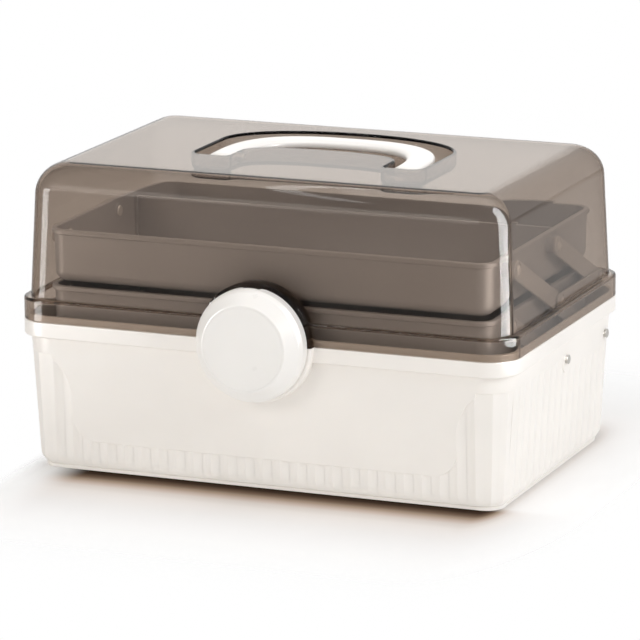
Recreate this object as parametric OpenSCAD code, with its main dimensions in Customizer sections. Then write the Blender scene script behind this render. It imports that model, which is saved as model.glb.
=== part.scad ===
// Medicine box with a hinged see-through lid, two cantilever trays, a round latch and a fold-down handle.
// Millimetres. X runs across the width, Y to the back and Z up. The origin is under the middle of the base.

/* [Outside] */
// Width over the rim and the lid flange
rim_w = 330; // [310:1:350]
// Depth over the rim and the lid flange
rim_d = 216.4; // [206:0.2:226]
// Corner radius of the rim seen from above
rim_r = 20; // [16:1:24]
// Height of the parting line between base and lid
part_z = 95.8; // [92:0.2:104]
// Height of the lid above the parting line
lid_h = 98.6; // [97:0.2:104]

/* [Base] */
// Wall thickness of the base
base_wall = 2.2; // [1.8:0.1:2.6]
// Height of the thick rim band
rim_h = 9.9; // [8:0.1:12]
// How far the rim band stands out from the wall below it
rim_proud = 3.2; // [2.4:0.1:3.6]
// How far the wall leans in from the rim down to the floor
base_draft = 4.1; // [3:0.1:5]
// Radius of the bottom edge
foot_r = 6; // [4:0.5:8]
// Height of the foot under the body
foot_h = 1.5; // [1:0.1:2]
// How far the foot stays back from the wall
foot_inset = 8; // [7:0.5:12]
// Thickness of the floor
floor_t = 2.6; // [2:0.1:3]
// Height of the lip that the lid closes around
lip_h = 4; // [3:0.1:5]

/* [Flutes] */
// Depth of the fluted area below the smooth panel
flute_depth = 0.9; // [0.5:0.1:1.1]
// Distance between neighbouring ribs
flute_pitch = 11.7; // [10:0.1:14]
// Width of a rib
rib_w = 1.8; // [1.2:0.1:2.4]
// Top of the low band of flutes on the front
band_z = 20; // [16:0.5:26]
// Top of the tall flutes at the corners
corner_flute_z = 75; // [70:0.5:79]
// Top of the flutes in the middle of the sides
side_flute_z = 65; // [56:0.5:66]
// Half width of the smooth panel on the front
panel_half = 128.5; // [120:0.5:130]
// Radius of the lower bend of the panel edge
panel_r_low = 16; // [10:1:20]
// Width of the upper bend of the panel edge
panel_bend_w = 22; // [16:1:26]
// Height of the upper bend of the panel edge
panel_bend_h = 30; // [20:1:34]

/* [Lid] */
// Wall thickness of the lid
lid_wall = 2.2; // [1.8:0.1:2.4]
// Height of the flange above the parting line
flange_h = 14.5; // [13:0.1:16]
// How far the lid wall steps back from the flange
flange_step = 4.4; // [4.2:0.1:5.2]
// How far the lid wall leans in up to the top
lid_draft = 3.6; // [2:0.1:4]
// Radius of the top edge
lid_edge_r = 18; // [8:0.5:20]
// Seam left between the rim and the flange
seam = 0.2; // [0.1:0.05:0.3]
// Gap between the lip and the flange around it
lip_gap = 0.5; // [0.3:0.1:0.7]

/* [Handle] */
// Half width of the handle over its legs
grip_half = 71.2; // [66:0.2:74]
// Width of a leg of the handle
leg_w = 17; // [14:0.1:18]
// Width of the grip at the back of the handle
grip_w = 17; // [15:0.5:18]
// Thickness of the handle
grip_t = 6.2; // [6:0.1:7.2]
// Place of the handle's pivot, front to back
handle_y = -14; // [-16:0.5:-12]
// Back edge of the handle
grip_back = 56; // [53:0.5:60]
// How far the handle lies below the top of the lid
grip_sink = 2; // [1.5:0.1:3]
// Free space under the handle
grip_under = 3; // [2.5:0.1:5]
// Free space between the handle and the outer wall of the well
well_side = 6; // [5:0.1:8]
// Free space behind the grip
well_rear = 10.5; // [8:0.5:12]
// Free space in front of the handle's legs
well_nose = 12.5; // [6:0.5:14]
// Free space for the fingers in front of the grip
finger_gap = 30; // [28:0.5:32]
// Gap between a leg and the island inside the well
leg_gap = 1.8; // [1.6:0.1:3]

/* [Trays] */
// Free space between the front of the trays and the lid
tray_room_front = 7; // [6:0.1:8]
// Free space between the back of the trays and the lid
tray_room_back = 8.5; // [7.6:0.1:12]
// Height of a tray
tray_h = 34; // [32:0.5:35]
// Gap between the two trays
tray_gap = 2; // [1.5:0.1:2.5]
// Wall thickness of a tray
tray_wall = 2; // [1.6:0.1:2.4]
// Corner radius of a tray seen from above
tray_r = 10; // [8:0.5:14]
// Radius of the bottom edge of a tray
tray_edge_r = 7; // [6:0.5:9]
// Width of the lip round a tray
tray_lip = 1.6; // [1:0.1:1.8]
// Height of the lip round a tray
tray_lip_h = 3; // [2:0.1:3.6]
// Place of the long divider from the middle of the box
divider_y = 34; // [10:1:50]
// Thickness of a divider
divider_t = 1.8; // [1.4:0.1:2.4]

/* [Linkage] */
// Distance of the front pivots from the front of a tray
pivot_front_in = 25; // [24:0.5:27]
// Distance of the rear pivots from the back of a tray
pivot_rear_in = 9.5; // [9:0.5:12]
// How far the pivots lie below the top of a tray
pivot_drop = 8.2; // [8:0.1:8.6]
// Height of the base pivots below the parting line
base_pivot_drop = 22.8; // [22.4:0.1:23.2]
// Width of an arm
arm_w = 12; // [10:0.5:12]
// Thickness of an arm
arm_t = 2; // [1.6:0.1:2.2]
// Thickness of a tie bar
bar_t = 1.8; // [1.4:0.1:2]
// Gap between the layers of arms
layer_gap = 0.5; // [0.4:0.05:0.6]
// Gap between a tray wall and the first layer of arms
first_gap = 3.1; // [2.8:0.1:3.4]
// Radius of the pivot pins
pin_r = 2; // [1.6:0.1:2.2]
// Thickness of a pin head
head_t = 1; // [0.8:0.1:1.2]
// Room between the outermost pin heads and the lid
lid_room = 0.9; // [0.7:0.1:1.5]
// Running clearance of a pin in its hole, on the radius
pin_play = 0.05; // [0.02:0.01:0.08]

/* [Latch] */
// Outer radius of the latch button
latch_r = 36.5; // [34:0.5:38]
// Height of the middle of the latch above the parting line
latch_rise = 0.5; // [0:0.1:2]
// Radius of the flat face of the latch
face_r = 27; // [24:0.5:28]
// Height of the bosses behind the latch above the flange
boss_h = 4.8; // [4:0.1:6]
// How much wider than the latch the bosses are
boss_over = 2.8; // [2:0.1:4]
// Depth of the straight side of the latch
latch_side = 7; // [6:0.5:9]
// Depth of the sloping part of the latch
latch_slope = 10; // [8:0.5:12]
// Wall thickness of the latch
latch_wall = 2.4; // [2:0.1:2.8]
// How far the latch's pivot lies below its top edge
latch_pivot_drop = 3.5; // [3.2:0.1:4]
// Radius of the latch's pin
latch_pin_r = 1.2; // [1:0.1:1.4]

/* [Hinge] */
// Distance of each hinge from the side of the box
hinge_in = 70; // [55:1:95]
// Radius of a hinge knuckle
knuckle_r = 4.5; // [4:0.1:4.8]
// Gap between a knuckle and the rim
knuckle_gap = 0.8; // [0.6:0.1:1]
// Length of a lid knuckle
lid_knuckle = 16; // [12:1:24]
// Length of a base knuckle
base_knuckle = 12; // [8:1:16]
// Gap between neighbouring knuckles
knuckle_play = 0.4; // [0.3:0.05:0.6]
// Radius of a hinge pin
hinge_pin_r = 1.5; // [1.2:0.1:1.8]

/* [Hidden] */

cream = [0.95, 0.93, 0.89];
smoke = [0.36, 0.32, 0.30, 0.55];
white = [0.97, 0.97, 0.96];
taupe = [0.55, 0.50, 0.47];
steel = [0.75, 0.75, 0.77];

LEFT = -1;
RIGHT = 1;
play = 0.1;
free_play = 0.08;
cut = 0.5;

// Heights that the base and the lid are built on
rim_z0 = part_z - rim_h;
flange_z0 = part_z + seam;
flange_z1 = part_z + flange_h;
top_z = part_z + lid_h;
body_x = rim_w/2 - rim_proud;
body_y = rim_d/2 - rim_proud;
body_r = rim_r - rim_proud;
cavity_top = part_z + lip_h;
cavity_z = foot_h + floor_t;
base_lean = base_draft/(rim_z0 - foot_h);
cavity_grow = base_lean*(cavity_top - rim_z0);
cavity_x = body_x - base_wall + cavity_grow;
cavity_y = body_y - base_wall + cavity_grow;
lip_x = rim_w/2 - lid_wall - lip_gap;
lip_y = rim_d/2 - lid_wall - lip_gap;

// The lid wall above the flange
wall_x = rim_w/2 - flange_step;
wall_y = rim_d/2 - flange_step;
wall_r = rim_r - flange_step;

// Layers of the linkage, counted from the tray wall outwards to the lid
stack = first_gap + 2*arm_t + 2*layer_gap + bar_t + head_t + lid_room;
tray_x = wall_x - lid_wall - stack;
layer_1 = tray_x + first_gap;
layer_2 = layer_1 + arm_t + layer_gap;
layer_3 = layer_2 + arm_t + layer_gap;
layer_end = layer_3 + bar_t;

// Length of a tray and places of the pivots, front to back
tray_front = tray_room_front + tray_lip - wall_y + lid_wall;
tray_back = wall_y - lid_wall - tray_room_back - tray_lip;
tray_d = tray_back - tray_front;
tray_y = (tray_front + tray_back)/2;
pivot_front = tray_front + pivot_front_in;
pivot_pitch = (tray_d - pivot_front_in - pivot_rear_in)/2;
pivot_mid = pivot_front + pivot_pitch;
pivot_rear = pivot_mid + pivot_pitch;

// Heights of the trays and of the pivots, which lie on a slanting lattice
base_pivot_z = part_z - base_pivot_drop;
stage_h = tray_h + tray_gap;
middle_pivot_z = base_pivot_z + stage_h;
upper_pivot_z = middle_pivot_z + stage_h;
middle_z1 = middle_pivot_z + pivot_drop;
upper_z1 = upper_pivot_z + pivot_drop;
arm_len = sqrt(pivot_pitch*pivot_pitch + stage_h*stage_h);
arm_lean = atan2(stage_h, -pivot_pitch);
wall_at_pivot = body_x - base_lean*(rim_z0 - base_pivot_z);
arm_bore = pin_r + free_play;
head_r = 1.75*pin_r;
boss_r = 2.5*pin_r;

// Handle and the well that it lies in
grip_z1 = top_z - grip_sink;
grip_z0 = grip_z1 - grip_t;
handle_z = grip_z0 + grip_t/2;
well_floor = grip_z0 - grip_under;
well_half = grip_half + well_side;
well_front = handle_y - grip_t/2 - well_nose;
well_back = grip_back + well_rear;
island_half = grip_half - leg_w - leg_gap;
island_back = grip_back - grip_w - finger_gap;
grip_arch_y = -10;
well_arch_y = 24;
island_arch_y = -12;
handle_pin_r = 1.7;
handle_boss_r = 3.6;
handle_boss_t = 3;

// Latch and its bosses
latch_z = part_z + latch_rise;
boss_y = -rim_d/2 - boss_h;
latch_back = boss_y - 0.3;
latch_front = latch_back - latch_side - latch_slope;
latch_axis_z = latch_z + latch_r - latch_pivot_drop;
latch_axis_y = latch_back - 2.7;
face_t = 1.6;
face_gap = 0.15;
lug_w = 11;
lug_r = 2.6;
lug_gap = 0.4;
ear_t = 3;
ear_drop = 5;
hook_w = 18;
hook_t = 2.2;
latch_pin_half = 13.5;
latch_swing = 40;
back_cut_angle = latch_swing + 8;

// Hinge axis behind the rim, on the parting line
hinge_x = rim_w/2 - hinge_in;
hinge_y = rim_d/2 + knuckle_r + knuckle_gap;
hinge_len = lid_knuckle + 2*base_knuckle + 2*knuckle_play;
hinge_head_r = hinge_pin_r + 0.9;
hinge_head_t = 0.8;
hinge_head_gap = 0.2;

// A flat outline with four round corners, half_x by half_y from its middle
module slab2d(half_x, half_y, r) {
    square([2*half_x, 2*(half_y - r)], center = true);
    square([2*(half_x - r), 2*half_y], center = true);
    for (x = [-1, 1], y = [-1, 1])
        translate([x*(half_x - r), y*(half_y - r)]) circle(r, $fn = 64);
}

module slab(half_x, half_y, r, z0, z1) {
    translate([0, 0, z0]) linear_extrude(z1 - z0) slab2d(half_x, half_y, r);
}

// A solid tub with its open end at z = 0 and its closed end at z = h. The walls lean in by draft,
// the upright corners have radius r and the closed end's edge has radius edge, with n flats each.
module tub(half_x, half_y, r, h, draft, edge, n = 8) {
    r_end = max(r - draft, edge + 0.5);
    hull() for (x = [-1, 1], y = [-1, 1]) {
        translate([x*(half_x - r), y*(half_y - r), 0]) cylinder(r = r, h = 0.01, $fn = 4*n);
        for (i = [0:n/2]) {
            a = 180*i/n;
            translate([
                x*(half_x - draft - r_end),
                y*(half_y - draft - r_end),
                h - edge + edge*sin(a) - 0.01
            ]) cylinder(r = r_end - edge + edge*cos(a), h = 0.01, $fn = 4*n);
        }
    }
}

// The same tub hanging down from z1 to z0
module hanging_tub(half_x, half_y, r, z0, z1, draft, edge) {
    translate([0, 0, z1]) mirror([0, 0, 1]) tub(half_x, half_y, r, z1 - z0, draft, edge);
}

module x_cylinder(r, x0, x1, y, z) {
    translate([x0, y, z]) rotate([0, 90, 0]) cylinder(r = r, h = x1 - x0, $fn = 48);
}

// Both sides' cylinders of one size at [y, z], from x0 to x1 measured outwards
module side_pair(r, x0, x1, y, z) {
    for (side = [LEFT, RIGHT])
        x_cylinder(r, min(side*x0, side*x1), max(side*x0, side*x1), y, z);
}

// Points of an oval arc around [cx, cz], rx wide and rz high
function arc(cx, cz, rx, rz, a0, a1, n = 8) =
    [for (i = [0:n]) let (a = a0 + (a1 - a0)*i/n) [cx + rx*cos(a), cz + rz*sin(a)]];
function mirrored(pts) = [for (i = [len(pts) - 1:-1:0]) [-pts[i].x, pts[i].y]];

// Half of the edge of a smooth panel: low in the middle, then an S up to the corner height.
// It ends at flat, just before the wall starts to turn round the corner.
function bend_end(half, bend_w, flat) = half + bend_w <= flat ? 90 : acos((flat - half - bend_w)/bend_w);
function panel_edge(half, low, high, r_low, bend_w, bend_h, flat) = concat(
    arc(half - r_low, low + r_low, r_low, r_low, -90, 0),
    arc(half + bend_w, high - bend_h, bend_w, bend_h, 180, bend_end(half, bend_w, flat))
);
module panel2d(half, low, high, r_low, bend_w, bend_h, flat) {
    edge = [for (p = panel_edge(half, low, high, r_low, bend_w, bend_h, flat)) [p.x, p.y - foot_h]];
    top = [[edge[len(edge) - 1].x, high - foot_h + 2]];
    polygon(concat(edge, top, mirrored(concat(edge, top))));
}

// Height of a panel's edge at distance x from the panel's middle
function edge_height(x, half, low, high, r_low, bend_w, bend_h) =
    x <= half - r_low ? low :
    x < half ? low + r_low - sqrt(r_low*r_low - pow(x - half + r_low, 2)) :
    x < half + bend_w ? high - bend_h + bend_h*sqrt(1 - pow((half + bend_w - x)/bend_w, 2)) :
    high;

flat_x = body_x - body_r;
flat_y = body_y - body_r;
panel_end_x = flat_x - 0.4;
panel_end_y = flat_y - 0.4;
front_ribs = floor(flat_x/flute_pitch);
side_ribs = floor(flat_y/flute_pitch);
base_tilt = atan2(base_draft, rim_z0 - foot_h);
rib_root = 0.6;
panel_sink = 0.03;
rib_sink = 0.06;

// The side's smooth area dips lower from in front of the middle pivot back to the corner
side_start = pivot_mid - 10;
side_bend = (corner_flute_z - side_flute_z)/2;
side_half = (panel_end_y - side_start)/2 - side_bend;
side_shift = (panel_end_y + side_start)/2;

// One rib on a wall: y = 0 is the smooth level, z runs up from the foot, the bottom end is rounded
module rib(top) {
    translate([-rib_w/2, rib_sink, 0]) rotate([90, 0, 90]) linear_extrude(rib_w)
        polygon(concat(
            [[flute_depth + rib_root, top], [0, top]],
            arc(foot_r, foot_r, foot_r, foot_r, 180, 232, 3),
            [[flute_depth + rib_root + 2, foot_r*0.35], [flute_depth + rib_root, foot_r]]
        ));
}

// Places its children on the wall that faces away from the middle at the given turn
module on_wall(turn, distance) {
    rotate([0, 0, turn]) translate([0, base_draft - distance, foot_h]) rotate([base_tilt, 0, 0]) children();
}

module wall_areas(turn, distance, ribs, shift, half, low, r_low, bend_w, bend_h, flat) {
    on_wall(turn, distance) {
        translate([shift, flute_depth + rib_root, 0]) rotate([90, 0, 0])
            linear_extrude(flute_depth + rib_root - panel_sink)
                panel2d(half, low, corner_flute_z, r_low, bend_w, bend_h, flat);
        for (i = [-ribs:ribs]) {
            x = abs(i*flute_pitch - shift);
            top = edge_height(x, half, low, corner_flute_z, r_low, bend_w, bend_h);
            translate([i*flute_pitch, 0, 0]) rib(top - foot_h + 1);
        }
    }
}

module base_outside() {
    hanging_tub(body_x - flute_depth, body_y - flute_depth, body_r - flute_depth,
        foot_h, rim_z0 + cut, base_draft, foot_r - flute_depth);
    band = base_lean*(rim_z0 - corner_flute_z);
    hull() for (x = [-1, 1], y = [-1, 1]) translate([x*flat_x, y*flat_y, corner_flute_z])
        cylinder(r1 = body_r - band, r2 = body_r, h = rim_z0 - corner_flute_z, $fn = 32);
    for (turn = [0, 180])
        wall_areas(turn, body_y, front_ribs, 0, panel_half, band_z,
            panel_r_low, panel_bend_w, panel_bend_h, panel_end_x);
    for (side = [LEFT, RIGHT])
        wall_areas(90*side, body_x, side_ribs, side*side_shift, side_half, side_flute_z,
            side_bend, side_bend, side_bend, panel_end_y - side_shift);
    for (x = [-1, 1], y = [-1, 1], a = [26, 66])
        translate([x*flat_x, y*flat_y, 0])
            on_wall(90 + atan2(y*sin(a), x*cos(a)), body_r) rib(corner_flute_z - foot_h + 1);
    foot_back = base_draft + foot_inset;
    slab(body_x - foot_back, body_y - foot_back, body_r - base_draft, 0, foot_h + cut);
    slab(rim_w/2, rim_d/2, rim_r, rim_z0, part_z);
    slab(lip_x, lip_y, rim_r - lid_wall - lip_gap, part_z - cut, cavity_top);
}

// Half disc behind the latch, from the boss face back into the wall, above or below the parting line
module latch_boss(r, z0, z1) {
    intersection() {
        translate([0, boss_y, latch_z]) rotate([-90, 0, 0]) cylinder(r = r, h = boss_h + 8, $fn = 96);
        translate([-rim_w/4, -rim_d, z0]) cube([rim_w/2, rim_d, z1 - z0]);
    }
}

// The bore for a hinge's pin
module hinge_bore(side, r) {
    x_cylinder(r, side*hinge_x - hinge_len, side*hinge_x + hinge_len, hinge_y, part_z);
}

module knuckle(x, len, z0, z1) {
    x_cylinder(knuckle_r, x - len/2, x + len/2, hinge_y, part_z);
    translate([x - len/2, rim_d/2 - lid_wall - cut, z0])
        cube([len, hinge_y - rim_d/2 + lid_wall + cut, z1 - z0]);
}

ledge_z = latch_z - latch_r + 10;
ledge_reach = 1.6;
ledge_w = 20;
ledge_t = 2;
hook_gap = 0.35;

module base_shell() color(cream) difference() {
    union() {
        difference() {
            union() {
                base_outside();
                latch_boss(latch_r + boss_over, latch_z - latch_r - boss_over, part_z);
            }
            hanging_tub(cavity_x, cavity_y, rim_r - rim_proud - base_wall,
                cavity_z, cavity_top + 0.01, base_draft + cavity_grow, foot_r - base_wall);
        }
        for (y = [pivot_mid, pivot_rear])
            side_pair(boss_r + 1, layer_1 + arm_t + 0.3, wall_at_pivot - base_wall/2, y, base_pivot_z);
        for (side = [LEFT, RIGHT], end = [-1, 1])
            knuckle(side*hinge_x + end*(lid_knuckle + base_knuckle + 2*knuckle_play)/2, base_knuckle,
                part_z - knuckle_r, part_z);
        translate([-ledge_w/2, boss_y - ledge_reach, ledge_z]) cube([ledge_w, ledge_reach + 1, ledge_t]);
    }
    for (y = [pivot_mid, pivot_rear])
        x_cylinder(pin_r + pin_play, -rim_w, rim_w, y, base_pivot_z);
    for (side = [LEFT, RIGHT])
        hinge_bore(side, hinge_pin_r + pin_play);
}

// An arch seen from above: straight legs from y0 to y_mid, then half an oval up to y1
function arch(half, y0, y_mid, y1, power, n = 36) = concat(
    [[half, y0]],
    [for (i = [0:n]) let (c = cos(180*i/n), s = sin(180*i/n))
        [half*sign(c)*pow(abs(c), 2/power), y_mid + (y1 - y_mid)*pow(s, 2/power)]],
    [[-half, y0]]
);

module well2d(grow) {
    difference() {
        polygon(arch(well_half + grow, well_front - grow, well_arch_y, well_back + grow, 2.1));
        polygon(arch(island_half - grow, well_front - 2*grow - 1, island_arch_y, island_back - grow, 2.6));
    }
}

module lid_cover() color(smoke) difference() {
    union() {
        difference() {
            union() {
                slab(rim_w/2, rim_d/2, rim_r, flange_z0, flange_z1);
                translate([0, 0, flange_z1 - cut])
                    tub(wall_x, wall_y, wall_r, top_z - flange_z1 + cut, lid_draft, lid_edge_r, 12);
                latch_boss(latch_r + boss_over, flange_z0, top_z);
                for (side = [LEFT, RIGHT])
                    knuckle(side*hinge_x, lid_knuckle, flange_z0, part_z + knuckle_r);
            }
            slab(rim_w/2 - lid_wall, rim_d/2 - lid_wall, rim_r - lid_wall,
                part_z - cut, flange_z1 - lid_wall);
            translate([0, 0, flange_z1 - lid_wall - 0.01])
                tub(wall_x - lid_wall, wall_y - lid_wall, wall_r - lid_wall,
                    top_z - flange_z1, lid_draft, lid_edge_r - lid_wall, 12);
        }
        translate([0, 0, well_floor - lid_wall]) linear_extrude(top_z - well_floor) well2d(lid_wall);
        side_pair(handle_boss_r, island_half - lid_wall - handle_boss_t, island_half - lid_wall + 0.2,
            handle_y, handle_z);
        latch_lug();
    }
    translate([0, 0, well_floor]) linear_extrude(top_z) well2d(0);
    x_cylinder(handle_pin_r + pin_play, -grip_half, grip_half, handle_y, handle_z);
    x_cylinder(latch_pin_r + pin_play, -rim_w/4, rim_w/4, latch_axis_y, latch_axis_z);
    for (side = [LEFT, RIGHT])
        hinge_bore(side, hinge_pin_r + free_play);
}

// The lug on the lid's boss that the latch hangs from
module latch_lug() {
    x_cylinder(lug_r, -lug_w/2, lug_w/2, latch_axis_y, latch_axis_z);
    translate([-lug_w/2, latch_axis_y, latch_axis_z - lug_r])
        cube([lug_w, boss_y - latch_axis_y + 1, 2*lug_r]);
}

module hinge_pin(side) color(steel) {
    start = hinge_len/2 + hinge_head_gap;
    reach = start + hinge_head_t;
    x_cylinder(hinge_pin_r, side*hinge_x - reach, side*hinge_x + reach, hinge_y, part_z);
    for (x = [-reach, start])
        x_cylinder(hinge_head_r, side*hinge_x + x, side*hinge_x + x + hinge_head_t, hinge_y, part_z);
}
module hinge_pin_left() { hinge_pin(LEFT); }
module hinge_pin_right() { hinge_pin(RIGHT); }

// Outline of the latch as turned around its middle: radius against depth in front of its back face
module latch_profile(r, side, slope, flat_r) {
    polygon([[0, 0], [r, 0], [r, side], [r - 1.2, side + 2.6], [flat_r + 2.2, side + slope - 0.9],
        [flat_r, side + slope], [0, side + slope]]);
}
module turned_latch(r, side, slope, flat_r) {
    translate([0, latch_back, latch_z]) rotate([90, 0, 0]) rotate_extrude($fn = 128)
        latch_profile(r, side, slope, flat_r);
}

module latch_button() color(white) difference() {
    union() {
        difference() {
            turned_latch(latch_r, latch_side, latch_slope, face_r + 1.4);
            translate([0, 0.01, 0])
                turned_latch(latch_r - latch_wall, latch_side - 0.6,
                    latch_slope - face_t - latch_wall + 0.6, face_r - 2);
        }
        intersection() {
            turned_latch(latch_r - 0.5, latch_side, latch_slope - face_t - 1, face_r);
            union() {
                for (side = [-1, 1])
                    translate([
                        side*(lug_w/2 + 0.5 + ear_t/2) - ear_t/2, latch_front, latch_axis_z - ear_drop
                    ]) cube([ear_t, latch_back - latch_front, 4*ear_drop]);
                translate([-hook_w/2, latch_front, ledge_z - hook_t - 1])
                    cube([hook_w, boss_y - ledge_reach - hook_gap - latch_front, hook_t]);
            }
        }
    }
    translate([0, latch_front - 1, latch_z]) rotate([-90, 0, 0])
        cylinder(r = face_r + face_gap, h = 1 + face_t, $fn = 96);
    bore_half = latch_pin_half + 0.5;
    x_cylinder(latch_pin_r + free_play, -bore_half, bore_half, latch_axis_y, latch_axis_z);
    translate([-latch_r, latch_axis_y, latch_axis_z]) rotate([back_cut_angle, 0, 0])
        translate([0, lug_r, -8]) cube([2*latch_r, 10, 30]);
    lug_slot();
}

// Room for the lid's lug inside the latch, over the latch's whole swing
module lug_slot() {
    half = lug_w/2 + lug_gap;
    r = lug_r + lug_gap;
    reach = 3*r;
    translate([-half, latch_axis_y, latch_axis_z]) rotate([90, 0, 90]) linear_extrude(2*half)
        polygon(concat(
            [[reach, -r]],
            arc(0, 0, r, r, 270, 90 + latch_swing, 14),
            [[
                reach*cos(latch_swing) - r*sin(latch_swing),
                reach*sin(latch_swing) + r*cos(latch_swing)
            ]]
        ));
}

module latch_face() color(white) translate([0, latch_front + face_t - 0.05, latch_z]) rotate([90, 0, 0]) {
    cylinder(r = face_r, h = face_t - 0.4, $fn = 96);
    cylinder(r = face_r - 0.4, h = face_t, $fn = 96);
}

module latch_pin() color(steel)
    x_cylinder(latch_pin_r, -latch_pin_half, latch_pin_half, latch_axis_y, latch_axis_z);

module handle_grip() color(white) difference() {
    union() {
        translate([0, 0, grip_z0]) linear_extrude(grip_t) difference() {
            polygon(arch(grip_half, handle_y, grip_arch_y, grip_back, 2.8));
            polygon(arch(grip_half - leg_w, handle_y - 1, grip_arch_y, grip_back - grip_w, 2.8));
        }
        side_pair(grip_t/2, grip_half - leg_w, grip_half, handle_y, handle_z);
    }
    side_pair(handle_pin_r + free_play, grip_half - 1.5*leg_w, grip_half - leg_w/2, handle_y, handle_z);
}

module handle_pin(side) color(steel) {
    a = side*(island_half - lid_wall - handle_boss_t);
    b = side*(grip_half - leg_w/2 - 0.2);
    x_cylinder(handle_pin_r, min(a, b), max(a, b), handle_y, handle_z);
}
module handle_pin_left() { handle_pin(LEFT); }
module handle_pin_right() { handle_pin(RIGHT); }

groove_w = 2.4;
groove_rib = 1.4;
groove_gap = 0.2;
tray_draft = 0.8;
pad = 0.5;
rear_pad = 1.4;
module groove_ribs(z0, z1) {
    for (side = [-1, 1], edge = [-1, 1]) {
        inner = tray_x - tray_wall;
        translate([
            side*(inner - groove_w/2) - groove_w/2,
            divider_y + edge*(divider_t/2 + groove_gap + groove_rib/2) - groove_rib/2,
            z0
        ]) cube([groove_w, groove_rib, z1 - z0]);
    }
}

// One tray: z1 is its top. Each boss is [y, how far it stands out, thickness of its pad inside].
module tray(z1, pivot_z, bosses) {
    z0 = z1 - tray_h;
    difference() {
        union() {
            difference() {
                translate([0, tray_y, 0]) {
                    hanging_tub(tray_x, tray_d/2, tray_r, z0, z1, tray_draft, tray_edge_r);
                    slab(tray_x + tray_lip, tray_d/2 + tray_lip, tray_r + tray_lip, z1 - tray_lip_h, z1);
                }
                translate([0, tray_y, 0])
                    hanging_tub(tray_x - tray_wall, tray_d/2 - tray_wall, tray_r - tray_wall,
                        z0 + tray_wall, z1 + 0.01, tray_draft, tray_edge_r - tray_wall);
            }
            groove_ribs(z0 + tray_wall - cut, z1 - tray_lip_h);
            for (b = bosses)
                side_pair(boss_r, tray_x - tray_wall - b[2], b[1] - play, b[0], pivot_z);
        }
        for (b = bosses)
            side_pair(pin_r + pin_play, tray_x - 2*tray_wall, rim_w/2, b[0], pivot_z);
    }
}
module middle_tray() color(taupe)
    tray(middle_z1, middle_pivot_z,
        [[pivot_front, layer_1, pad], [pivot_mid, layer_1, pad], [pivot_rear, layer_2, rear_pad]]);
module upper_tray() color(taupe)
    tray(upper_z1, upper_pivot_z, [[pivot_front, layer_2, pad], [pivot_mid, layer_2, pad]]);

module divider(z1) color(taupe) {
    half = tray_x - tray_wall - 0.3;
    z0 = z1 - tray_h + tray_wall + 0.2;
    foot = tray_edge_r;
    translate([0, divider_y, 0]) rotate([90, 0, 0]) linear_extrude(divider_t, center = true)
        polygon([
            [-half + foot, z0], [half - foot, z0],
            [half - 1, z0 + foot], [half - 1, z1 - tray_lip_h],
            [-half + 1, z1 - tray_lip_h], [-half + 1, z0 + foot]
        ]);
}
module middle_divider() { divider(middle_z1); }
module upper_divider() { divider(upper_z1); }

// A flat link from [y, z] of its lower pivot, leaning by angle, with a hole at each end
module link(side, x0, t, y, z, len, angle) color(taupe) {
    x = side > 0 ? x0 : -x0 - t;
    translate([x, y, z]) rotate([angle, 0, 0]) difference() {
        union() {
            translate([0, 0, -arm_w/2]) cube([t, len, arm_w]);
            for (end = [0, len])
                translate([0, end, 0]) rotate([0, 90, 0]) cylinder(r = arm_w/2, h = t, $fn = 64);
        }
        for (end = [0, len])
            translate([-1, end, 0]) rotate([0, 90, 0]) cylinder(r = arm_bore, h = t + 2, $fn = 48);
    }
}
module lower_arm(side, y) { link(side, layer_1, arm_t, y, base_pivot_z, arm_len, arm_lean); }
module upper_arm(side, y) { link(side, layer_2, arm_t, y, middle_pivot_z, arm_len, arm_lean); }
module tie_bar(side) { link(side, layer_3, bar_t, pivot_mid, middle_pivot_z, pivot_pitch, 0); }

module lower_front_arm_left() { lower_arm(LEFT, pivot_mid); }
module lower_front_arm_right() { lower_arm(RIGHT, pivot_mid); }
module lower_rear_arm_left() { lower_arm(LEFT, pivot_rear); }
module lower_rear_arm_right() { lower_arm(RIGHT, pivot_rear); }
module upper_front_arm_left() { upper_arm(LEFT, pivot_mid); }
module upper_front_arm_right() { upper_arm(RIGHT, pivot_mid); }
module upper_rear_arm_left() { upper_arm(LEFT, pivot_rear); }
module upper_rear_arm_right() { upper_arm(RIGHT, pivot_rear); }
module tie_bar_left() { tie_bar(LEFT); }
module tie_bar_right() { tie_bar(RIGHT); }

// Rivet-like pins on both sides, from an inner head outwards to an outer head
module pins(y, z, x0, x1) color(steel) {
    side_pair(pin_r, x0 - head_t, x1 + head_t, y, z);
    side_pair(head_r, x0 - head_t, x0, y, z);
    side_pair(head_r, x1, x1 + head_t, y, z);
}
pad_inside = tray_x - tray_wall - pad - play;
rear_pad_inside = tray_x - tray_wall - rear_pad - play;
module base_pins() {
    for (y = [pivot_mid, pivot_rear])
        pins(y, base_pivot_z, layer_1 - play, wall_at_pivot + 0.25);
}
module middle_front_pins() { pins(pivot_front, middle_pivot_z, pad_inside, layer_1 + arm_t + play); }
module middle_centre_pins() { pins(pivot_mid, middle_pivot_z, pad_inside, layer_end + play/2); }
module middle_rear_pins() { pins(pivot_rear, middle_pivot_z, rear_pad_inside, layer_end + play/2); }
module upper_tray_pins() {
    for (y = [pivot_front, pivot_mid])
        pins(y, upper_pivot_z, pad_inside, layer_2 + arm_t + play);
}

// Thin washers in the gaps between the layers of arms
module washer(x0, y) {
    difference() {
        side_pair(boss_r, x0 - layer_gap + 0.05, x0 - 0.05, y, middle_pivot_z);
        side_pair(pin_r + pin_play, x0 - 2, x0 + 2, y, middle_pivot_z);
    }
}
module pivot_washers() color(steel) {
    washer(layer_2, pivot_mid);
    washer(layer_3, pivot_mid);
    washer(layer_3, pivot_rear);
}

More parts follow.
